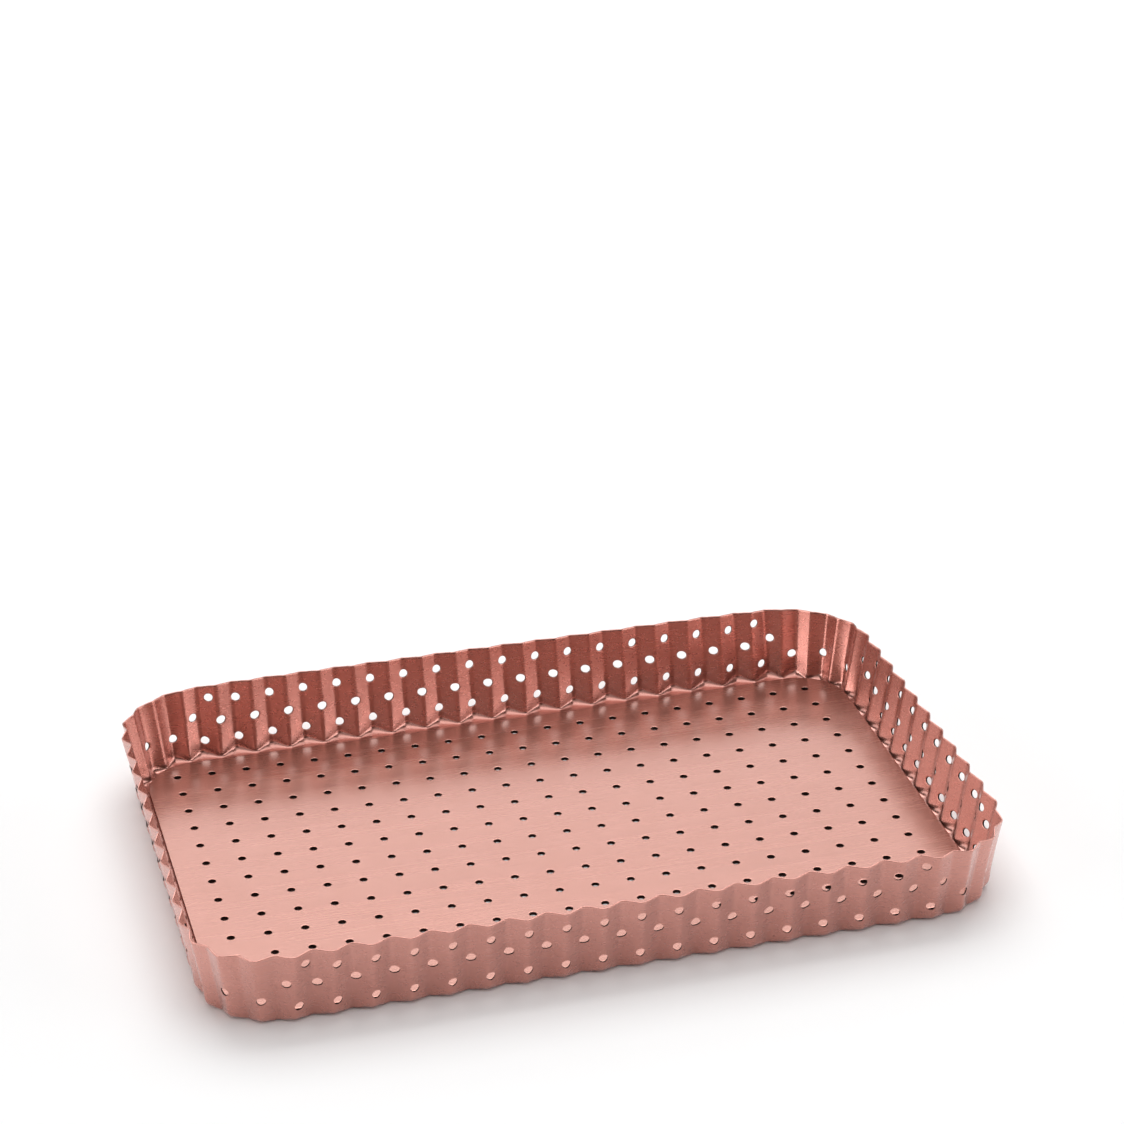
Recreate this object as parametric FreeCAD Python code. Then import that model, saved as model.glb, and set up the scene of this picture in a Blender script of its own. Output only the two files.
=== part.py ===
"""Rectangular loose-base tart pan: a fluted, flared ring of thin perforated sheet with a
narrow ledge turned in at its foot, and a separate perforated base plate that lies on the
ledge and pushes up out of the ring.

Millimetres.  +X runs along the pan's length, +Y across its width and +Z up.  The origin is
on the surface the pan stands on, under the middle of the pan.
"""
import FreeCAD, Part
import math
import os

# ---- the ring's outline -----------------------------------------------------------------
# The flutes weave about a mean outline: a rounded rectangle that grows towards the rim.
half_length = 149.4             # mean outline at the foot
half_width = 100.1
corner_radius = 27.0
rim_height = 31.3
flare = 0.17                    # outward lean of the wall per unit of height
sheet = 0.6                     # thickness of the metal
wall_across = 0.66              # the wall's thickness square to the mean outline

# ---- flutes -----------------------------------------------------------------------------
flute_pitch = 14.175            # on the straight sides
flutes_in_quarter = 17.5        # from the middle of a long side to the middle of a short one
flute_depth = 2.8               # from ridge to lobe, if the flanks ran on to sharp corners
ridge_radius = 2.6              # bend at an inner ridge
lobe_radius = 3.0               # bend at an outer lobe

# ---- foot and ledge ---------------------------------------------------------------------
foot_radius = 2.6               # outside radius where the wall turns in to the ledge
opening_half_length = 138.0     # the hole inside the ledge, under the base
opening_half_width = 86.5
opening_corner = 15.0

# ---- holes in the wall: three staggered rows --------------------------------------------
wall_hole_radius = 1.75
hole_pitch = 14.0
low_row = 7.3                   # heights of the rows
middle_row = 16.1
top_row = 24.0
corner_rise = 5.7               # how far the low row climbs as it rounds a corner
corner_gaps = 5                 # even gaps of the low row between two sides
# straight rows: (height, first hole in pitches from the side's middle, number of holes)
long_side_rows = [(low_row, 0.5, 9), (middle_row, 0, 9), (top_row, 0.5, 8)]
short_side_rows = [(low_row, 0, 5), (middle_row, 0.5, 4), (top_row, 0, 5)]
# the holes that end the upper rows beside a corner: (pitches from the side's middle, height)
long_side_ends = [(8.8, middle_row + 2), (8.3, top_row + 2)]
short_side_ends = [(4.35, middle_row + 1), (5.05, middle_row + 3), (4.75, top_row + 0.5)]

# ---- base plate -------------------------------------------------------------------------
base_half_length = 146.8
base_half_width = 95.3
base_corner = 21.0
base_bow = 1.27                 # how far the ends stand above the middle
base_clearance = 0.05           # between the ledge and the middle of the plate
base_hole_radius = 1.5
base_columns = 20
base_rows = 13

Vector = FreeCAD.Vector
up = Vector(0, 0, 1)

core_half_length = half_length - corner_radius
core_half_width = half_width - corner_radius
flutes_to_corner = core_half_length / flute_pitch
flutes_in_corner = flutes_in_quarter - (core_half_length + core_half_width) / flute_pitch
flute_count = round(4 * flutes_in_quarter)
quarter_length = core_half_length + corner_radius * math.pi / 2 + core_half_width
lean = math.atan(flare)


def quarter_point(distance, reach):
    """Point and outward normal on the quarter of the mean outline where x and y are positive.

    distance runs clockwise from the middle of the long side, measured at the foot, and
    reach is how far the outline lies outside the straight-sided core.
    """
    arc_end = core_half_length + corner_radius * math.pi / 2
    if distance <= core_half_length:
        normal = Vector(0, 1, 0)
        centre = Vector(distance, core_half_width, 0)
    elif distance <= arc_end:
        turn = (distance - core_half_length) / corner_radius
        normal = Vector(math.sin(turn), math.cos(turn), 0)
        centre = Vector(core_half_length, core_half_width, 0)
    else:
        normal = Vector(1, 0, 0)
        centre = Vector(core_half_length, core_half_width - (distance - arc_end), 0)
    return centre + normal * reach, normal


def mirrored(vector, mirror_x, mirror_y):
    return Vector(vector.x * mirror_x, vector.y * mirror_y, vector.z)


def flutes_to_distance(flutes):
    """Distance along a quarter outline of a place counted in flutes from the long side's middle."""
    corner_end = flutes_to_corner + flutes_in_corner
    if flutes <= flutes_to_corner:
        return flutes * flute_pitch
    if flutes <= corner_end:
        corner_share = (flutes - flutes_to_corner) / flutes_in_corner
        return core_half_length + corner_share * corner_radius * math.pi / 2
    return quarter_length - (flutes_in_quarter - flutes) * flute_pitch


def outline_point(flutes, reach):
    """Point and outward normal anywhere round the ring, in flutes from the back's middle."""
    quarter, inside = divmod(flutes % flute_count, flutes_in_quarter)
    if quarter % 2:
        inside = flutes_in_quarter - inside
    mirror_x = 1 if quarter < 2 else -1
    mirror_y = 1 if quarter in (0, 3) else -1
    point, normal = quarter_point(flutes_to_distance(inside), reach)
    return mirrored(point, mirror_x, mirror_y), mirrored(normal, mirror_x, mirror_y)


# ---- one flute's cross-section ----------------------------------------------------------
flank_slope = math.atan(flute_depth / (flute_pitch / 2))
ridge_end = ridge_radius * math.sin(flank_slope) / flute_pitch
lobe_start = 0.5 - lobe_radius * math.sin(flank_slope) / flute_pitch


def weave(share):
    """How far the sheet stands outside the mean outline, share of a flute from its ridge."""
    from_ridge = min(share, 1 - share)
    if from_ridge < ridge_end:
        rounding = math.sqrt(ridge_radius ** 2 - (from_ridge * flute_pitch) ** 2)
        return -flute_depth / 2 + ridge_radius / math.cos(flank_slope) - rounding
    if from_ridge > lobe_start:
        rounding = math.sqrt(lobe_radius ** 2 - ((0.5 - from_ridge) * flute_pitch) ** 2)
        return flute_depth / 2 - lobe_radius / math.cos(flank_slope) + rounding
    return flute_depth * (2 * from_ridge - 0.5)


half_shares = [0, ridge_end, (ridge_end + lobe_start) / 2, lobe_start, (lobe_start + 0.5) / 2, 0.5]
flute_shares = half_shares + [1 - share for share in reversed(half_shares[:-1])]


def flute_curve(flute, height, skin, inset=0):
    """Smooth curve along one flute, from ridge to ridge.

    skin is the distance outside the middle of the sheet, and inset moves the curve inwards.
    """
    reach = corner_radius + flare * height + skin - inset
    points = []
    for share in flute_shares:
        point, normal = outline_point(flute + share, reach)
        points.append(point + normal * weave(share) + up * height)
    step = 0.01
    tangents = []
    for end in (flute, flute + 1):
        before, after = outline_point(end - step, reach)[0], outline_point(end + step, reach)[0]
        tangents.append((after - before) * (0.5 / step))
    curve = Part.BSplineCurve()
    curve.interpolate(Points=points, Parameters=flute_shares, Scale=False,
                      InitialTangent=tangents[0], FinalTangent=tangents[1])
    return curve


def patch(curves, weights):
    """Face through matching curves: ruled between two, a rounded bend through three."""
    rows = [curve.getPoles() for curve in curves]
    poles = [list(column) for column in zip(*rows)]
    degree = len(curves) - 1
    surface = Part.BSplineSurface()
    surface.buildFromPolesMultsKnots(
        poles, curves[0].getMultiplicities(), [degree + 1, degree + 1],
        curves[0].getKnots(), [0, 1], False, False, curves[0].Degree, degree,
        [list(weights) for _ in poles])
    return surface.toShape()


def skin_faces(skin, ledge_height, bend_radius):
    """The wall and the foot bend on one side of the sheet, with the closed edges they end in."""
    turn = math.pi / 2 - lean
    setback = bend_radius * math.tan(turn / 2)
    bend_top = ledge_height + setback * math.cos(lean)
    faces, rim_edges, ledge_edges = [], [], []
    for flute in range(flute_count):
        ledge_line = flute_curve(flute, ledge_height, skin, setback)
        bend_corner = flute_curve(flute, ledge_height, skin)
        wall_foot = flute_curve(flute, bend_top, skin)
        rim_line = flute_curve(flute, rim_height, skin)
        faces.append(patch([ledge_line, bend_corner, wall_foot], [1, math.cos(turn / 2), 1]))
        faces.append(patch([wall_foot, rim_line], [1, 1]))
        rim_edges.append(rim_line.toShape())
        ledge_edges.append(ledge_line.toShape())
    return faces, Part.Wire(rim_edges), Part.Wire(ledge_edges)


def rounded_rectangle(half_x, half_y, radius, height):
    """Closed wire of four sides and four quarter arcs at one height."""
    x, y = half_x - radius, half_y - radius
    edges = []
    for turn, centre in enumerate([(x, y), (-x, y), (-x, -y), (x, -y)]):
        middle = Vector(centre[0], centre[1], height)
        ends = []
        for angle in (turn * 90, turn * 90 + 45, turn * 90 + 90):
            spoke = Vector(math.cos(math.radians(angle)), math.sin(math.radians(angle)), 0)
            ends.append(middle + spoke * radius)
        if edges:
            edges.append(Part.makeLine(edges[-1].Vertexes[-1].Point, ends[0]))
        edges.append(Part.Arc(*ends).toShape())
    edges.append(Part.makeLine(edges[-1].Vertexes[-1].Point, edges[0].Vertexes[0].Point))
    return Part.Wire(edges)


def wall_hole(distance, height, mirror_x, mirror_y):
    """Cutter for one hole, square to the leaning wall."""
    point, normal = quarter_point(distance, corner_radius + flare * height)
    outward = normal * math.cos(lean) - up * math.sin(lean)
    start = point + up * height - outward * flute_depth
    return Part.makeCylinder(wall_hole_radius, 2 * flute_depth,
                             mirrored(start, mirror_x, mirror_y),
                             mirrored(outward, mirror_x, mirror_y))


def quarter_holes():
    """Place of every hole in one quarter, as (distance along the outline, height)."""
    long_side = [(pitches * hole_pitch, height) for pitches, height in long_side_ends]
    for height, first, count in long_side_rows:
        long_side += [((first + step) * hole_pitch, height) for step in range(count)]
    short_side = [(quarter_length - pitches * hole_pitch, height) for pitches, height in short_side_ends]
    for height, first, count in short_side_rows:
        short_side += [(quarter_length - (first + step) * hole_pitch, height) for step in range(count)]
    # the low row carries on round the corner, evenly spaced, and climbs
    start = max(distance for distance, height in long_side if height == low_row)
    finish = min(distance for distance, height in short_side if height == low_row)
    corner = []
    for step in range(1, corner_gaps):
        distance = start + (finish - start) * step / corner_gaps
        turn = (distance - core_half_length) / corner_radius
        corner.append((distance, low_row + corner_rise * max(0, math.sin(2 * turn))))
    return long_side + corner + short_side


def wall_holes():
    """Every wall cutter; a hole on the middle of a side is made once only."""
    cutters = []
    for distance, height in quarter_holes():
        for mirror_x in (1,) if distance == 0 else (1, -1):
            for mirror_y in (1,) if distance == quarter_length else (1, -1):
                cutters.append(wall_hole(distance, height, mirror_x, mirror_y))
    return cutters


def flat_band(outer_edge, inner_edge):
    """Flat face between two closed edges at one height."""
    return Part.makeFace([outer_edge, inner_edge], "Part::FaceMakerBullseye").Faces


def make_fluted_ring():
    """The pan's side wall: two fluted skins, a flat rim and a flat ledge, as one solid."""
    outer_faces, outer_rim, outer_ledge = skin_faces(wall_across / 2, 0, foot_radius)
    inner_faces, inner_rim, inner_ledge = skin_faces(-wall_across / 2, sheet, foot_radius - sheet)
    opening = rounded_rectangle(opening_half_length, opening_half_width, opening_corner, 0)
    opening_top = opening.translated(up * sheet)
    faces = outer_faces + inner_faces + opening.extrude(up * sheet).Faces
    faces += flat_band(outer_rim, inner_rim)
    faces += flat_band(outer_ledge, opening) + flat_band(inner_ledge, opening_top)
    shell = Part.Shell(faces)
    shell.sewShape()
    return Part.Solid(shell).cut(wall_holes())


def make_loose_base():
    """The base plate: a rounded rectangle of sheet, bowed lengthwise and pierced on a square grid."""
    low = sheet + base_clearance
    end = base_half_length + foot_radius

    def bow_arc(height):
        rise = base_bow * (end / base_half_length) ** 2
        return Part.Arc(Vector(-end, 0, height + rise), Vector(0, 0, height),
                        Vector(end, 0, height + rise)).toShape()

    under, over = bow_arc(low), bow_arc(low + sheet)
    ends = [Part.makeLine(under.Vertexes[side].Point, over.Vertexes[side].Point) for side in (0, 1)]
    profile = Part.Face(Part.Wire([under, ends[1], over, ends[0]]))
    slab = profile.extrude(Vector(0, 2 * half_width, 0)).translated(Vector(0, -half_width, 0))
    outline = Part.Face(rounded_rectangle(base_half_length, base_half_width, base_corner, 0))
    plate = slab.common(outline.extrude(up * rim_height))
    cutters = []
    for column in range(base_columns):
        for row in range(base_rows):
            x = (column - (base_columns - 1) / 2) * hole_pitch
            y = (row - (base_rows - 1) / 2) * hole_pitch
            cutters.append(Part.makeCylinder(base_hole_radius, rim_height, Vector(x, y, 0)))
    return plate.cut(cutters)


os.makedirs("parts", exist_ok=True)
for name, make in (("fluted_ring", make_fluted_ring), ("loose_base", make_loose_base)):
    shape = make()
    solids = shape.Solids
    box = shape.BoundBox
    print(name, "solids", len(solids), "valid", shape.isValid(), "volume", round(shape.Volume),
          "faces", len(shape.Faces), "x", round(box.XMin, 2), round(box.XMax, 2),
          "y", round(box.YMin, 2), round(box.YMax, 2), "z", round(box.ZMin, 2), round(box.ZMax, 2))
    solids[0].exportStep("parts/" + name + ".step")
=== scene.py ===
"""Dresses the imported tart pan: detailed meshes and coatings for its ring and its base, a
pale floor, soft studio light and the camera.  Metres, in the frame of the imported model.
"""
import math

import bpy
import numpy as np
from mathutils import Matrix, Vector, geometry, noise


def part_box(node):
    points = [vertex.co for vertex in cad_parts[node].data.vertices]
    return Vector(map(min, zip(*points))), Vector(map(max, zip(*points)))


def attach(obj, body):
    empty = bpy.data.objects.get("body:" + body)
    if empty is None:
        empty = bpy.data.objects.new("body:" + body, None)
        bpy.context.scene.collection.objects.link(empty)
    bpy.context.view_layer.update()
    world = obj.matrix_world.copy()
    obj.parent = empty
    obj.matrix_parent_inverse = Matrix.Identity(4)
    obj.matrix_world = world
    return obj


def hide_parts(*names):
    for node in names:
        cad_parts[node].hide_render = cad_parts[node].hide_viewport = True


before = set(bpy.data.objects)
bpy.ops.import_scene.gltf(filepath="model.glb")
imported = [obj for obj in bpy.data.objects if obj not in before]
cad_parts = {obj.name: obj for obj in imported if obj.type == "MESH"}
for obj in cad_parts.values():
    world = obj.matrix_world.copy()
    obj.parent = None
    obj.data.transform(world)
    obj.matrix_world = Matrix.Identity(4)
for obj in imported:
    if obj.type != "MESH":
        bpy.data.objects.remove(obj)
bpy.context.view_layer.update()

MM = 0.001
UP = np.array([0.0, 0.0, 1.0])

ring_high = Vector(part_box("fluted_ring")[1])
base_low, base_high = (Vector(corner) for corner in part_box("loose_base"))

# ---- the ring's sheet and outline, as in the CAD ring ----------------------------------------
SHEET = 0.6 * MM
WALL_ACROSS = 0.66 * MM             # the wall's thickness square to the mean outline
FLARE = 0.17                        # outward lean of the wall per unit of height
LEAN = math.atan(FLARE)
WALL_HALF = WALL_ACROSS / 2 * math.cos(LEAN)
CORNER_RADIUS = 27 * MM
OPENING_HALF_LENGTH = 138 * MM      # the hole inside the ledge
OPENING_HALF_WIDTH = 86.5 * MM

# ---- flutes: a tight ridge inside, flat flanks and a broader lobe outside --------------------
FLUTE_PITCH = 14.175 * MM
FLUTES_IN_QUARTER = 17.5
FLUTE_COUNT = round(4 * FLUTES_IN_QUARTER)
FLUTE_DEPTH = 2.8 * MM
RIDGE_RADIUS = 2.6 * MM
LOBE_RADIUS = 3.0 * MM
FLANK_SLOPE = math.atan(2 * FLUTE_DEPTH / FLUTE_PITCH)
RIDGE_END = RIDGE_RADIUS * math.sin(FLANK_SLOPE) / FLUTE_PITCH
LOBE_START = 0.5 - LOBE_RADIUS * math.sin(FLANK_SLOPE) / FLUTE_PITCH
LOBE_TIP = FLUTE_DEPTH / 2 - LOBE_RADIUS / math.cos(FLANK_SLOPE) + LOBE_RADIUS
RIDGE_TIP = -FLUTE_DEPTH / 2 + RIDGE_RADIUS / math.cos(FLANK_SLOPE) - RIDGE_RADIUS
CORNER_CALM = 0.2                   # share of the flutes' depth lost in the middle of a corner

# ---- one quarter of the ring, from the middle of a long side to the middle of a short one ----
WALL_REACH = CORNER_RADIUS + FLARE * ring_high.z + LOBE_TIP + WALL_ACROSS / 2
CORE_HALF_LENGTH = ring_high.x - WALL_REACH
CORE_HALF_WIDTH = ring_high.y - WALL_REACH
CORNER_END = CORE_HALF_LENGTH + CORNER_RADIUS * math.pi / 2
QUARTER_LENGTH = CORNER_END + CORE_HALF_WIDTH
RING_LENGTH = 4 * QUARTER_LENGTH
# where its straight runs and its corner meet, as distances and counted in flutes
QUARTER_PLACES = [0, CORE_HALF_LENGTH, CORNER_END, QUARTER_LENGTH]
QUARTER_FLUTES = [0, CORE_HALF_LENGTH / FLUTE_PITCH,
                  FLUTES_IN_QUARTER - CORE_HALF_WIDTH / FLUTE_PITCH, FLUTES_IN_QUARTER]

# The flutes were pressed after the holes were punched, so they wander clockwise of their even
# places: how far, at distances round the ring from the back's middle.
DRIFT_PLACES = np.array([-150, 0, 105, 165, 310, 360]) * MM
DRIFTS = np.array([0, 0.7, 1.9, -0.5, 2.0, 0]) * MM

# ---- foot ------------------------------------------------------------------------------------
BEND_TURN = math.pi / 2 - LEAN      # from the ledge up to the wall
RIDGE_FOOT_RADIUS = 1.6 * MM        # of the bend, in the middle of the sheet, at a ridge
LOBE_FOOT_RADIUS = 3.8 * MM         # and at a lobe
FOOT_GROWTH = 0.3                   # how much deeper the flutes are at the foot
FOOT_FADE = 14 * MM                 # they are as deep as elsewhere this far above the bend
PLAIN_HEIGHT = 5 * MM               # the foot's shaping ends here
LEDGE_SHARES = [0, 0.04, 0.35, 0.7, 1]      # rows of points from the ledge's edge to the bend
LEDGE_EDGE_THINNING = 0.6
BEND_STEPS = 7

# ---- rim -------------------------------------------------------------------------------------
RIM_HEIGHT = ring_high.z - 0.1 * MM     # middle of the leaning sheet, whose inner edge is higher
RIM_WAVE = 0.6 * MM                 # how far the rim sinks at a lobe
RIM_WAVE_START = 25.5 * MM          # height where that sinking begins
RIM_DIP = 1.2 * MM                  # how far the rim sinks at a corner
DIP_WIDTH = 26 * MM

# ---- rows of points in the wall, by height ---------------------------------------------------
FOOT_ROWS = np.array([1, 2.3, 3.6]) * MM
MIDDLE_ROWS = np.linspace(PLAIN_HEIGHT, RIM_HEIGHT - 0.9 * MM, 12)
RIM_ROWS = RIM_HEIGHT - np.array([0.3, 0.1, 0]) * MM
RIM_THINNING = [1, 0.75, 0.35]      # the cut rim is slightly rounded

# ---- dents in the wall, as (size, depth) -----------------------------------------------------
DENTS = [(9 * MM, 0.10 * MM), (30 * MM, 0.25 * MM)]
DENT_FADE = 4 * MM                  # above the plain height, they grow in over this height
SEED_STEP = Vector((7.1, 3.7, 1.3))     # how far apart in the noise two seeds are

# ---- the wall's holes: three staggered rows --------------------------------------------------
HOLE_PITCH = 14 * MM
WALL_HOLE_RADIUS = 1.7 * MM
LOW_ROW = 7.3 * MM
MIDDLE_ROW = 16.1 * MM
TOP_ROW = 24 * MM
CORNER_RISE = 5.7 * MM              # how far the low row climbs as it rounds a corner
CORNER_GAPS = 5                     # even gaps of the low row between two sides
RIDGE_HOLE_STRETCH = 0.9            # the middle row, over the ridges, is drawn wide
# straight rows: (height, first hole in pitches from the side's middle, number of holes)
LONG_SIDE_ROWS = [(LOW_ROW, 0.5, 9), (MIDDLE_ROW, 0, 9), (TOP_ROW, 0.5, 8)]
SHORT_SIDE_ROWS = [(LOW_ROW, 0, 5), (MIDDLE_ROW, 0.5, 4), (TOP_ROW, 0, 5)]
# the holes that end the upper rows beside a corner: (pitches from the side's middle, height)
LONG_SIDE_ENDS = [(8.8, MIDDLE_ROW + 2 * MM), (8.3, TOP_ROW + 2 * MM)]
SHORT_SIDE_ENDS = [(4.35, MIDDLE_ROW + 1 * MM), (5.05, MIDDLE_ROW + 3 * MM),
                   (4.75, TOP_ROW + 0.5 * MM)]
# rings of points round a hole, by radius from its edge outwards, and what the punch did there
WALL_LIPS = WALL_HOLE_RADIUS + np.array([0, 0.12, 0.35, 0.6]) * MM
WALL_LIP_THINNING = [0.85, 1, 1, 1]
WALL_LIP_DRAW = np.array([0.10, 0.03, 0, 0]) * MM       # how far it stands outwards

# ---- the base plate --------------------------------------------------------------------------
BASE_CORNER = 21 * MM
BASE_COLUMNS = 20
BASE_ROWS = 13
BASE_HOLE_RADIUS = 1.5 * MM
BASE_BURR = 0.6 * MM                # how far the punched edges of its holes stand out underneath
BASE_BURR_CLOSING = 0.3 * MM        # how much narrower a hole is at the burr's end than at its top
BASE_LIPS = BASE_HOLE_RADIUS + np.array([-BASE_BURR_CLOSING / 2, 0.08 * MM, 0.22 * MM, 0.45 * MM])
BASE_LIP_THINNING = [0.7, 0.92, 1, 1]
BASE_LIP_DRAW = np.array([0.02, 0.005, 0, 0]) * MM      # how far it stands downwards
BASE_LIP_BURR = np.array([1, 0.85, 0, 0]) * BASE_BURR
LIE_OF_BASE = Vector((0.5 * MM, -0.5 * MM, 0))
LIE_OF_BASE_HOLES = -1.1 * MM       # the base's holes are off its middle, lengthwise
# loops of points inside the outer edge, and the sheet's share of its thickness at the first three
EDGE_INSETS = [0, 0.12 * MM, 0.35 * MM, 0.9 * MM]
EDGE_THINNING = [0.85, 0.97, 1]
LOOP_STEP = 2.5 * MM
GRID_STEP = HOLE_PITCH / 4          # between the loops and the holes, points on a square grid
GRID_INSET = 2.6 * MM

# ---- making meshes ---------------------------------------------------------------------------
FLUTE_STEPS = 24                    # columns of points in one flute
SEAM = 0.25                         # flutes from the back's middle, at a step and clear of holes
HOLE_SIDES = 28                     # points round a hole
CLEAR_OF_LIPS = 1.25                # no other point within this many times a hole's last lip
TRIANGULATION_TOLERANCE = 1e-4      # millimetres
SLIVER_AREA = 1e-13                 # flatter triangles are left out
WELD = 1e-7                         # points that differ by less are one point
SHARP_ANGLE = math.radians(50)

# ---- the studio ------------------------------------------------------------------------------
CAMERA_PLACE = Vector((-0.2759, -1.1026, 0.6644))
CAMERA_AIM = Vector((0.0673, 0.2367, 0))
CAMERA_ROLL = math.radians(-1.11)
CAMERA_LENS = 107.62
FLOOR_REACH = 6.0
WORLD_STRENGTH = 0.01
# name, place, aim, width, height, power
LIGHTS = [
    ("backdrop", (0.6, 3.2, 1.65), (0.6, 0, 1.65), 8.0, 1.1, 32),
    ("overhead_back", (0.6, 2.0, 3.0), (0.3, 0.3, 0), 4.0, 2.4, 88),
    ("overhead", (0, 0, 3.0), (0, 0, 0), 3.0, 2.4, 38),
    ("overhead_front", (0, -2.0, 3.0), (0, 0, 0), 4.0, 2.0, 20),
    ("right_strip", (2.4, -1.45, 0.35), (0, 0, 0.15), 1.6, 0.5, 8),
    ("right_panel", (2.4, -1.3, 1.1), (0, 0, 0.15), 1.6, 0.7, 11),
    ("right_side", (3.0, 0.5, 0.8), (0, 0, 0), 2.0, 1.2, 20),
    ("left_front", (-1.8, -2.2, 1.2), (0, 0, 0), 1.6, 0.8, 3),
    ("left_panel", (-3.0, 1.3, 1.0), (0, 0, 0.3), 2.5, 2.0, 24),
    ("left_side", (-3.0, -0.6, 0.7), (0, 0, 0.1), 1.6, 1.0, 25),
]


# ---- the outline, all round the ring ---------------------------------------------------------
def fold_to_quarter(distance):
    """Distance from the middle of a long side in one quarter, with the signs of x and y."""
    around = np.mod(distance, RING_LENGTH)
    quarter = np.minimum(around // QUARTER_LENGTH, 3).astype(int)
    inside = around - quarter * QUARTER_LENGTH
    inside = np.where(quarter % 2 == 1, QUARTER_LENGTH - inside, inside)
    sign_x = np.where(quarter < 2, 1.0, -1.0)
    sign_y = np.where((quarter == 0) | (quarter == 3), 1.0, -1.0)
    return inside, sign_x, sign_y


def outline(distance):
    """Core point, outward normal and corner turn (0 to a right angle) at distances round the ring."""
    inside, sign_x, sign_y = fold_to_quarter(distance)
    turn = np.clip((inside - CORE_HALF_LENGTH) / CORNER_RADIUS, 0, math.pi / 2)
    core_x = np.minimum(inside, CORE_HALF_LENGTH)
    core_y = CORE_HALF_WIDTH - np.maximum(inside - CORNER_END, 0)
    level = np.zeros_like(turn)
    core = np.stack([core_x * sign_x, core_y * sign_y, level], axis=-1)
    normal = np.stack([np.sin(turn) * sign_x, np.cos(turn) * sign_y, level], axis=-1)
    return core, normal, turn


def flutes_at(distance):
    """Distances round the ring, counted in flutes within their quarter."""
    return np.interp(fold_to_quarter(distance)[0], QUARTER_PLACES, QUARTER_FLUTES)


def distance_of(flutes):
    """Distance round the ring of a place counted in flutes from the back's middle."""
    quarter = np.minimum(flutes // FLUTES_IN_QUARTER, 3)
    inside = flutes - quarter * FLUTES_IN_QUARTER
    odd = quarter % 2 == 1
    inside = np.where(odd, FLUTES_IN_QUARTER - inside, inside)
    distance = np.interp(inside, QUARTER_FLUTES, QUARTER_PLACES)
    return quarter * QUARTER_LENGTH + np.where(odd, QUARTER_LENGTH - distance, distance)


def weave(flutes):
    """How far the sheet stands outside the mean outline at places counted in flutes."""
    share = np.mod(flutes, 1)
    from_ridge = np.minimum(share, 1 - share)
    across_ridge = np.minimum(from_ridge, RIDGE_END) * FLUTE_PITCH
    across_lobe = np.minimum(0.5 - from_ridge, 0.5 - LOBE_START) * FLUTE_PITCH
    ridge = (-FLUTE_DEPTH / 2 + RIDGE_RADIUS / math.cos(FLANK_SLOPE)
             - np.sqrt(RIDGE_RADIUS ** 2 - across_ridge ** 2))
    lobe = (FLUTE_DEPTH / 2 - LOBE_RADIUS / math.cos(FLANK_SLOPE)
            + np.sqrt(LOBE_RADIUS ** 2 - across_lobe ** 2))
    flank = FLUTE_DEPTH * (2 * from_ridge - 0.5)
    return np.where(from_ridge < RIDGE_END, ridge, np.where(from_ridge > LOBE_START, lobe, flank))


def drift(distance):
    """How far the flutes stand clockwise of their even places at distances round the ring."""
    from_back = np.mod(distance + RING_LENGTH / 2, RING_LENGTH) - RING_LENGTH / 2
    return np.interp(from_back, DRIFT_PLACES, DRIFTS)


def flute_offset(distance):
    """The sheet's offset from the mean outline at distances round the ring, and how near it is
    to a lobe's middle, from 0 at a ridge to 1."""
    turn = outline(distance)[2]
    weaving = weave(flutes_at(distance - drift(distance)))
    nearness = (weaving - RIDGE_TIP) / (LOBE_TIP - RIDGE_TIP)
    nearness = nearness ** 2 * (3 - 2 * nearness)
    return weaving * (1 - CORNER_CALM * np.sin(2 * turn)), nearness


# ---- flat triangulation with round holes -----------------------------------------------------
def nearest_hole(places, holes, batch=4000):
    """Distance from each flat place to the nearest hole's centre, worked out in batches."""
    holes = np.array(holes)
    nearest = np.empty(len(places))
    for start in range(0, len(places), batch):
        some = places[start:start + batch]
        across = (some[:, None, 0] - holes[None, :, 0]) * holes[None, :, 2]
        upwards = some[:, None, 1] - holes[None, :, 1]
        nearest[start:start + batch] = np.sqrt(across ** 2 + upwards ** 2).min(axis=1)
    return nearest


def on_hole_edge(from_hole, lips):
    """Which points, at these distances from a hole's centre, are on the first of its lips."""
    return from_hole < (lips[0] + lips[1]) / 2


def pierced_triangles(points, holes, lips):
    """Triangulates a convex cloud of flat points round holes, each (x, y, sideways stretch).

    lips are the radii of the rings of points round a hole, the first its edge. Returns the
    points, the triangles, wound anticlockwise, and each point's distance from a hole's centre.
    """
    cloud = [points[nearest_hole(points, holes) > lips[-1] * CLEAR_OF_LIPS]]
    count = len(cloud[0])
    edges = []
    angles = np.arange(HOLE_SIDES) * 2 * math.pi / HOLE_SIDES
    for x, y, stretch in holes:
        edges += [(count + side, count + (side + 1) % HOLE_SIDES) for side in range(HOLE_SIDES)]
        for lip in lips:
            ring_x = x + lip / stretch * np.cos(angles)
            ring_y = y + lip * np.sin(angles)
            cloud.append(np.stack([ring_x, ring_y], axis=-1))
            count += HOLE_SIDES
    cloud = np.concatenate(cloud)
    _, _, faces, sources, _, _ = geometry.delaunay_2d_cdt(
        [Vector(place) for place in cloud / MM], edges, [], 0, TRIANGULATION_TOLERANCE)
    corners = cloud[[source[0] for source in sources]]
    faces = np.array(faces)
    middles = corners[faces].mean(axis=1)
    faces = faces[nearest_hole(middles, holes) > lips[0] * math.cos(math.pi / HOLE_SIDES)]
    first, second, third = (corners[faces[:, corner]] for corner in range(3))
    along, back = second - first, third - first
    area = along[:, 0] * back[:, 1] - along[:, 1] * back[:, 0]
    faces[area < 0] = faces[area < 0][:, ::-1]
    faces = faces[np.abs(area) > SLIVER_AREA]
    return corners, faces, nearest_hole(corners, holes)


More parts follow.
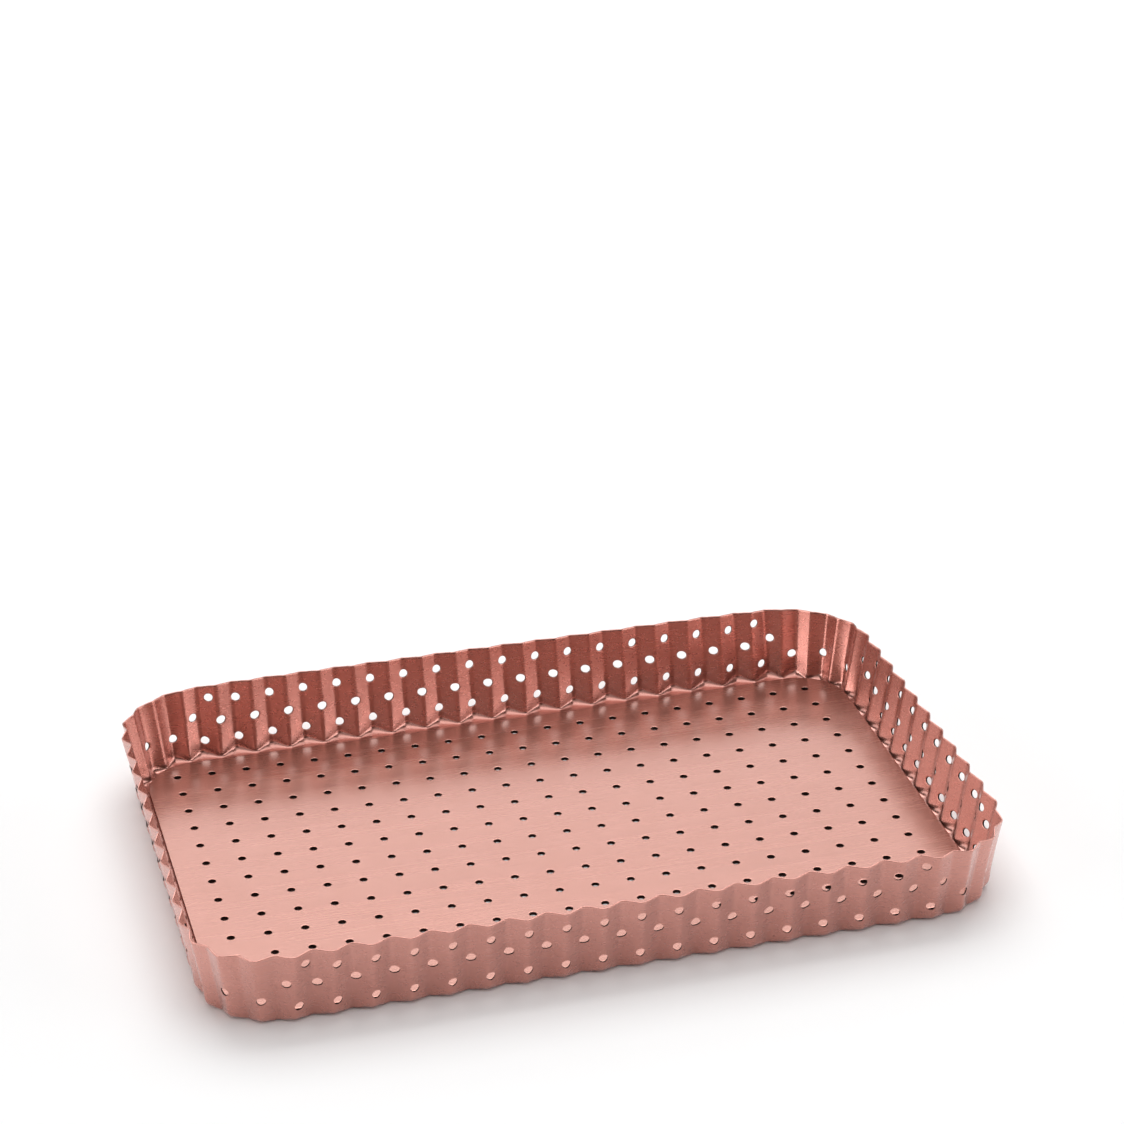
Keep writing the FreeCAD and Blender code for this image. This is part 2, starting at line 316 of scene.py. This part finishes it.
def thick_mesh(name, middle, faces, outward, half, sheared):
    """Object of a thin sheet: two skins either side of a middle surface, joined round every edge.

    faces are wound anticlockwise seen from the side away from outward, and half is half the
    thickness at each point. sheared tells which points are on a bare cut edge: the joining
    faces between two of them take the second material, whose near-black colour is painted shade.
    """
    keys, first_seen, merged = np.unique(np.round(middle / WELD).astype(np.int64), axis=0,
                                         return_index=True, return_inverse=True)
    merged = merged.reshape(-1)
    middle, outward, half, sheared = (values[first_seen] for values in (middle, outward, half, sheared))
    faces = [merged[face] for face in faces]
    edges = np.concatenate([np.stack([face, np.roll(face, -1, axis=1)], axis=-1).reshape(-1, 2)
                            for face in faces])
    code = np.sort(edges, axis=1) @ np.array([len(keys), 1])
    _, where, uses = np.unique(code, return_index=True, return_counts=True)
    rim = edges[where[uses == 1]]
    count = len(keys)
    inner = middle - outward * half[:, None]
    outer = middle + outward * half[:, None]
    polygons = []
    for face in faces:
        polygons += face.tolist()
        polygons += (face[:, ::-1] + count).tolist()
    skin_count = len(polygons)
    start, end = rim[:, 0], rim[:, 1]
    polygons += np.stack([end, start, start + count, end + count], axis=-1).tolist()
    mesh = bpy.data.meshes.new(name)
    mesh.from_pydata(np.concatenate([inner, outer]).tolist(), [], polygons)
    materials = np.zeros(len(polygons), int)
    materials[skin_count:] = sheared[rim].all(axis=1)
    mesh.polygons.foreach_set("material_index", materials)
    mesh.validate()
    mesh.shade_smooth()
    mesh.set_sharp_from_angle(angle=SHARP_ANGLE)
    piece = bpy.data.objects.new(name, mesh)
    bpy.context.scene.collection.objects.link(piece)
    return piece


def dents(places, size, depth, seed):
    """Smooth random sinking of a surface, from nothing to depth, with bumps of about that size."""
    values = [noise.noise(Vector(place) / size + SEED_STEP * seed) for place in places]
    return depth * (0.5 + 0.5 * np.array(values))


# ---- the ring --------------------------------------------------------------------------------
def quarter_holes():
    """Place of every hole in one quarter, as (distance from the long side's middle, height)."""
    holes = []
    for height, first, count in LONG_SIDE_ROWS:
        holes += [((first + step) * HOLE_PITCH, height) for step in range(count)]
    for height, first, count in SHORT_SIDE_ROWS:
        holes += [(QUARTER_LENGTH - (first + step) * HOLE_PITCH, height) for step in range(count)]
    # the low row carries on round the corner, evenly spaced, and climbs
    low_row = [distance for distance, height in holes if height == LOW_ROW]
    start = max(distance for distance in low_row if distance < CORE_HALF_LENGTH)
    finish = min(distance for distance in low_row if distance > CORNER_END)
    for step in range(1, CORNER_GAPS):
        distance = start + (finish - start) * step / CORNER_GAPS
        turn = (distance - CORE_HALF_LENGTH) / CORNER_RADIUS
        holes.append((distance, LOW_ROW + CORNER_RISE * max(0, math.sin(2 * turn))))
    holes += [(pitches * HOLE_PITCH, height) for pitches, height in LONG_SIDE_ENDS]
    holes += [(QUARTER_LENGTH - pitches * HOLE_PITCH, height) for pitches, height in SHORT_SIDE_ENDS]
    return holes


def wall_hole_places(seam):
    """Every hole of the wall as (distance round the ring from the seam on, height, sideways stretch).

    A length along the foot of a corner grows with height, so a hole that is to be round there
    is made narrower by that stretch.
    """
    holes = []
    for inside, height in quarter_holes():
        in_corner = CORE_HALF_LENGTH < inside < CORNER_END
        stretch = 1 + FLARE * height / CORNER_RADIUS if in_corner else 1.0
        if height == MIDDLE_ROW:
            stretch *= RIDGE_HOLE_STRETCH
        for side in (0, 2 * QUARTER_LENGTH):
            distances = [side + inside]
            if 0 < inside < QUARTER_LENGTH:
                distances.append(side - inside)
            holes += [((distance - seam) % RING_LENGTH + seam, height, stretch)
                      for distance in distances]
    return holes


def ring_columns():
    """Distances round the ring of the mesh's columns, from the seam all round to it again."""
    flutes = SEAM + np.arange(FLUTE_COUNT * FLUTE_STEPS + 1) / FLUTE_STEPS
    second_round = flutes >= FLUTE_COUNT
    columns = distance_of(flutes - FLUTE_COUNT * second_round) + RING_LENGTH * second_round
    return columns + drift(columns)


def foot_bend(lobe):
    """The foot bend's radius, in the middle of the sheet, and the height of its top."""
    radius = RIDGE_FOOT_RADIUS + (LOBE_FOOT_RADIUS - RIDGE_FOOT_RADIUS) * lobe
    return radius, SHEET / 2 + radius * (1 - math.cos(BEND_TURN))


def sheet_points(distance, reach, height, tilt, half):
    """Points of the ring's sheet, five values for each one.

    They are its distance round the ring, its reach outside the straight-sided core, its height,
    the angle by which the outer face looks down there, and half the sheet's thickness.
    """
    return np.stack(np.broadcast_arrays(distance, reach, height, tilt, half))


def foot_rows(columns):
    """The ledge and the foot bend, as rows of points from the ledge's edge to the bend's top."""
    turn = outline(columns)[2]
    opening = ((OPENING_HALF_WIDTH - CORE_HALF_WIDTH) * np.cos(turn) ** 2
               + (OPENING_HALF_LENGTH - CORE_HALF_LENGTH) * np.sin(turn) ** 2)
    offset, lobe = flute_offset(columns)
    radius = foot_bend(lobe)[0]
    bend_corner = CORNER_RADIUS + FLARE * SHEET / 2 + offset * (1 + FOOT_GROWTH)
    bend_start = bend_corner - radius * math.tan(BEND_TURN / 2)
    rows = []
    for share in LEDGE_SHARES:
        reach = opening + (bend_start - opening) * share
        half = SHEET / 2 * (LEDGE_EDGE_THINNING if share == 0 else 1)
        rows.append(sheet_points(columns, reach, SHEET / 2, math.pi / 2, half))
    for step in range(1, BEND_STEPS + 1):
        angle = BEND_TURN * step / BEND_STEPS
        reach = bend_start + radius * math.sin(angle)
        height = SHEET / 2 + radius * (1 - math.cos(angle))
        half = SHEET / 2 + (WALL_HALF - SHEET / 2) * step / BEND_STEPS
        rows.append(sheet_points(columns, reach, height, math.pi / 2 - angle, half))
    return rows


def pierced_wall(columns):
    """The wall: its points, its triangles and each point's distance from a hole's centre.

    It is triangulated flat, up from a level line that then follows the top of the foot bend.
    """
    wall_rows = np.concatenate([FOOT_ROWS, MIDDLE_ROWS, RIM_ROWS])
    cloud = np.stack(np.meshgrid(columns, wall_rows), axis=-1).reshape(-1, 2)
    places, triangles, from_hole = pierced_triangles(cloud, wall_hole_places(columns[0]), WALL_LIPS)
    distance, flat_height = places[:, 0], places[:, 1]
    offset, lobe = flute_offset(distance)
    bend_top = foot_bend(lobe)[1]
    lift = np.clip((PLAIN_HEIGHT - flat_height) / (PLAIN_HEIGHT - FOOT_ROWS[0]), 0, 1)
    height = flat_height + (bend_top - FOOT_ROWS[0]) * lift
    strength = 1 + FOOT_GROWTH * np.clip(1 - (height - bend_top) / FOOT_FADE, 0, 1) ** 2
    reach = CORNER_RADIUS + FLARE * height + offset * strength
    sinking = np.clip((height - RIM_WAVE_START) / (RIM_HEIGHT - RIM_WAVE_START), 0, 1)
    thinning = np.interp(from_hole, WALL_LIPS, WALL_LIP_THINNING)
    thinning *= np.interp(flat_height, RIM_ROWS, RIM_THINNING)
    points = sheet_points(distance, reach, height - RIM_WAVE * lobe * sinking, LEAN,
                          WALL_HALF * thinning)
    return points, triangles, from_hole


def make_ring():
    """The fluted, perforated wall with its rounded foot and ledge."""
    columns = ring_columns()
    foot = foot_rows(columns)
    grid = np.arange(len(foot) * len(columns)).reshape(len(foot), len(columns))
    quads = np.stack([grid[:-1, :-1], grid[:-1, 1:], grid[1:, 1:], grid[1:, :-1]], axis=-1)
    wall, triangles, from_hole = pierced_wall(columns)
    faces = [quads.reshape(-1, 4), triangles + grid.size]
    from_hole = np.concatenate([np.full(grid.size, np.inf), from_hole])

    distance, reach, height, tilt, half = np.concatenate(foot + [wall], axis=1)
    core, normal, _ = outline(distance)
    from_corner = fold_to_quarter(distance)[0] - (CORE_HALF_LENGTH + CORNER_END) / 2
    dip = RIM_DIP * np.exp(-(from_corner / DIP_WIDTH) ** 2)
    height = height - dip * np.clip((height - PLAIN_HEIGHT) / (RIM_HEIGHT - PLAIN_HEIGHT), 0, 1)
    outward = normal * np.cos(tilt)[:, None] - UP * np.sin(tilt)[:, None]
    middle = core + normal * reach[:, None] + UP * height[:, None]

    sink = sum(dents(middle, size, depth, seed) for seed, (size, depth) in enumerate(DENTS, start=1))
    sink = sink * np.clip((height - PLAIN_HEIGHT) / DENT_FADE, 0, 1)
    draw = np.interp(from_hole, WALL_LIPS, WALL_LIP_DRAW)
    middle = middle - outward * sink[:, None]
    middle = middle + outward * draw[:, None]
    sheared = on_hole_edge(from_hole, WALL_LIPS)
    return thick_mesh("fluted_ring_sheet", middle, faces, outward, half, sheared)


# ---- the base --------------------------------------------------------------------------------
def rounded_loop(half_x, half_y, radius, step):
    """Points of a rounded rectangle, anticlockwise, about step apart."""
    arc_count = max(4, round(radius * math.pi / 2 / step))
    arcs = []
    for corner, (sign_x, sign_y) in enumerate([(1, 1), (-1, 1), (-1, -1), (1, -1)]):
        centre = np.array([sign_x * (half_x - radius), sign_y * (half_y - radius)])
        angles = [(corner + part / arc_count) * math.pi / 2 for part in range(arc_count + 1)]
        arcs.append([centre + radius * np.array([math.cos(angle), math.sin(angle)])
                     for angle in angles])
    points = []
    for arc, next_arc in zip(arcs, arcs[1:] + arcs[:1]):
        span = next_arc[0] - arc[-1]
        count = round(np.linalg.norm(span) / step)
        points += arc
        points += [arc[-1] + span * part / count for part in range(1, count)]
    return np.array(points)


def inside_by(places, half_x, half_y, radius):
    """How far flat places lie inside a rounded rectangle."""
    beyond = np.abs(places) - np.array([half_x - radius, half_y - radius])
    outside = np.linalg.norm(np.maximum(beyond, 0), axis=1)
    return radius - outside - np.minimum(beyond.max(axis=1), 0)


def make_base():
    """The loose base: a thin plate bowed lengthwise and pierced on a square grid."""
    half_x, half_y = base_high.x, base_high.y
    loops = [rounded_loop(half_x - inset, half_y - inset, BASE_CORNER - inset, LOOP_STEP)
             for inset in EDGE_INSETS]
    steps_x, steps_y = int(half_x / GRID_STEP), int(half_y / GRID_STEP)
    grid = np.stack(np.meshgrid(np.arange(-steps_x, steps_x + 1) * GRID_STEP,
                                np.arange(-steps_y, steps_y + 1) * GRID_STEP), axis=-1)
    grid = grid.reshape(-1, 2)
    grid = grid[inside_by(grid, half_x, half_y, BASE_CORNER) > GRID_INSET]
    columns = (np.arange(BASE_COLUMNS) - (BASE_COLUMNS - 1) / 2) * HOLE_PITCH + LIE_OF_BASE_HOLES
    rows = (np.arange(BASE_ROWS) - (BASE_ROWS - 1) / 2) * HOLE_PITCH
    holes = [(x, y, 1.0) for x in columns for y in rows]
    places, triangles, from_hole = pierced_triangles(np.concatenate(loops + [grid]), holes, BASE_LIPS)

    thickness = SHEET * np.interp(from_hole, BASE_LIPS, BASE_LIP_THINNING)
    from_edge = inside_by(places, half_x, half_y, BASE_CORNER)
    thickness *= np.interp(from_edge, EDGE_INSETS[:3], EDGE_THINNING)
    burr = np.interp(from_hole, BASE_LIPS, BASE_LIP_BURR)
    bow = (base_high.z - base_low.z - SHEET) * (places[:, 0] / half_x) ** 2
    height = base_low.z + SHEET / 2 + bow
    height -= np.interp(from_hole, BASE_LIPS, BASE_LIP_DRAW) + burr / 2
    middle = np.column_stack([places, height])

    # straight down, but at a hole's edge tilted towards its centre, so that the burr closes in
    down = np.tile(-UP, (len(places), 1))
    edge = on_hole_edge(from_hole, BASE_LIPS)
    first_centre = np.array([columns[0], rows[0]])
    centres = first_centre + np.round((places[edge] - first_centre) / HOLE_PITCH) * HOLE_PITCH
    closing = BASE_BURR_CLOSING / (thickness + burr)[edge] / from_hole[edge]
    down[edge, :2] = (centres - places[edge]) * closing[:, None]
    # every cut face of the plate, round its holes and along its outer edge, takes the near-black
    # painted-shade edge material
    sheared = np.ones(len(places), bool)
    piece = thick_mesh("loose_base_plate", middle, [triangles], down, (thickness + burr) / 2, sheared)
    piece.location = LIE_OF_BASE
    return piece


# ---- coatings --------------------------------------------------------------------------------
def node(tree, kind, inputs=None, **settings):
    """One shader node with its settings and its unlinked inputs."""
    made = tree.nodes.new(kind)
    for name, value in settings.items():
        setattr(made, name, value)
    for name, value in (inputs or {}).items():
        made.inputs[name].default_value = value
    return made


def noise_texture(tree, vector, scale, detail, roughness):
    """Output of a noise texture read at a vector, with its scale per metre of the object."""
    made = node(tree, "ShaderNodeTexNoise", {"Scale": scale, "Detail": detail, "Roughness": roughness})
    tree.links.new(vector, made.inputs["Vector"])
    return made.outputs["Fac"]


def blend_of(tree, factor, first, second):
    """Output of a blend of two colours."""
    made = node(tree, "ShaderNodeMix", data_type="RGBA")
    made.inputs["A"].default_value = (*first, 1)
    made.inputs["B"].default_value = (*second, 1)
    tree.links.new(factor, made.inputs["Factor"])
    return made.outputs["Result"]


def mapped(tree, value, low, high, to_low=0.0, to_high=1.0):
    """Output of a value moved from the range low to high into the range to_low to to_high."""
    made = node(tree, "ShaderNodeMapRange", {"From Min": low, "From Max": high,
                                             "To Min": to_low, "To Max": to_high})
    tree.links.new(value, made.inputs["Value"])
    return made.outputs["Result"]


def bump(tree, height, strength, depth, under=None):
    """Normal of a bumpy surface, on top of the bumps of another normal."""
    made = node(tree, "ShaderNodeBump", {"Strength": strength, "Distance": depth})
    tree.links.new(height, made.inputs["Height"])
    if under:
        tree.links.new(under, made.inputs["Normal"])
    return made.outputs["Normal"]


def coating(name, deep, light, roughness, grain, streaks):
    """Rose-gold metallic non-stick coating with fine grain, orange peel and rolling streaks.

    deep and light are the tones of its faint clouds, roughness is the range that the streaks
    vary it over, and grain and streaks are the strengths of their bumps.
    """
    material = bpy.data.materials.new(name)
    material.use_nodes = True
    tree = material.node_tree
    shader = tree.nodes["Principled BSDF"]
    shader.inputs["Metallic"].default_value = 0.8
    shader.inputs["Coat Weight"].default_value = 1.0
    shader.inputs["Coat Roughness"].default_value = 0.22
    shader.inputs["Coat IOR"].default_value = 1.8
    place = node(tree, "ShaderNodeTexCoord").outputs["Object"]

    cloud = noise_texture(tree, place, scale=60.0, detail=4.0, roughness=0.6)
    tone = blend_of(tree, mapped(tree, cloud, 0.3, 0.7), deep, light)
    tree.links.new(tone, shader.inputs["Base Color"])

    lengthwise = node(tree, "ShaderNodeMapping", {"Scale": (8.0, 900.0, 900.0)})
    tree.links.new(place, lengthwise.inputs["Vector"])
    streak = noise_texture(tree, lengthwise.outputs["Vector"], scale=1.0, detail=3.0, roughness=0.6)
    gloss = mapped(tree, streak, 0.25, 0.75, *roughness)
    tree.links.new(gloss, shader.inputs["Roughness"])

    fine = noise_texture(tree, place, scale=2200.0, detail=2.0, roughness=0.7)
    peel = noise_texture(tree, place, scale=450.0, detail=3.0, roughness=0.55)
    normal = bump(tree, fine, grain, 0.05 * MM)
    normal = bump(tree, peel, grain, 0.12 * MM, normal)
    normal = bump(tree, streak, streaks, 0.04 * MM, normal)
    tree.links.new(normal, shader.inputs["Normal"])
    return material


def shaded_sheared_edge():
    """Matt, uncoated edge that the punch leaves, coloured near-black as painted shade standing in for
    the shadow inside the holes and along the plate's edge.
    """
    material = bpy.data.materials.new("shaded_sheared_edge")
    material.use_nodes = True
    tree = material.node_tree
    shader = tree.nodes["Principled BSDF"]
    shader.inputs["Roughness"].default_value = 0.8
    shader.inputs["Specular IOR Level"].default_value = 0.1
    place = node(tree, "ShaderNodeTexCoord").outputs["Object"]
    burnish = noise_texture(tree, place, scale=1500.0, detail=2.0, roughness=0.5)
    # near-black painted shade, varied a little by fine noise
    tone = blend_of(tree, burnish, (0.010, 0.003, 0.002), (0.030, 0.012, 0.009))
    tree.links.new(tone, shader.inputs["Base Color"])
    return material


# ---- the studio ------------------------------------------------------------------------------
def make_floor():
    """Plain pale floor, far larger than the view."""
    corners = [(-FLOOR_REACH, -FLOOR_REACH, 0), (FLOOR_REACH, -FLOOR_REACH, 0),
               (FLOOR_REACH, FLOOR_REACH, 0), (-FLOOR_REACH, FLOOR_REACH, 0)]
    mesh = bpy.data.meshes.new("floor")
    mesh.from_pydata(corners, [], [(0, 1, 2, 3)])
    floor = bpy.data.objects.new("floor", mesh)
    bpy.context.scene.collection.objects.link(floor)
    material = bpy.data.materials.new("pale_floor")
    material.use_nodes = True
    shader = material.node_tree.nodes["Principled BSDF"]
    shader.inputs["Base Color"].default_value = (0.9, 0.9, 0.9, 1)
    shader.inputs["Roughness"].default_value = 0.9
    shader.inputs["Specular IOR Level"].default_value = 0.1
    mesh.materials.append(material)


def make_light(name, place, aim, width, height, power):
    """Soft rectangular light pointing at a place."""
    data = bpy.data.lights.new(name, "AREA")
    data.shape = "RECTANGLE"
    data.size = width
    data.size_y = height
    data.energy = power
    light = bpy.data.objects.new(name, data)
    light.location = place
    light.visible_camera = False
    light.rotation_euler = (Vector(aim) - Vector(place)).to_track_quat("-Z", "Y").to_euler()
    bpy.context.scene.collection.objects.link(light)


def make_world():
    """Even, very faint surroundings."""
    world = bpy.data.worlds.new("studio")
    world.use_nodes = True
    world.node_tree.nodes["Background"].inputs["Color"].default_value = (1, 1, 1, 1)
    world.node_tree.nodes["Background"].inputs["Strength"].default_value = WORLD_STRENGTH
    bpy.context.scene.world = world


def make_camera():
    """Long lens, above, in front and to the left of the pan, tilted a degree."""
    data = bpy.data.cameras.new("camera")
    data.sensor_width = 36
    data.lens = CAMERA_LENS
    data.clip_end = 50
    camera = bpy.data.objects.new("camera", data)
    view = (CAMERA_AIM - CAMERA_PLACE).to_track_quat("-Z", "Y").to_matrix().to_4x4()
    camera.matrix_world = (Matrix.Translation(CAMERA_PLACE) @ view
                           @ Matrix.Rotation(CAMERA_ROLL, 4, "Z"))
    bpy.context.scene.collection.objects.link(camera)
    bpy.context.scene.camera = camera


ring = make_ring()
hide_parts("fluted_ring")
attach(ring, "ring")
# the cut faces round the wall's holes take the near-black edge material, which is painted shade
edge_shade_material = shaded_sheared_edge()
ring.data.materials.append(coating(
    "ring_rose_gold", deep=(0.56, 0.21, 0.158), light=(0.61, 0.238, 0.183),
    roughness=(0.24, 0.33), grain=0.03, streaks=0.03))
ring.data.materials.append(edge_shade_material)

base = make_base()
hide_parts("loose_base")
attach(base, "base")
base.data.materials.append(coating(
    "base_rose_gold", deep=(0.565, 0.23, 0.168), light=(0.595, 0.25, 0.188),
    roughness=(0.21, 0.30), grain=0.03, streaks=0.045))
base.data.materials.append(edge_shade_material)

make_floor()
make_world()
for light in LIGHTS:
    make_light(*light)
make_camera()
bpy.context.scene.view_settings.view_transform = "Standard"
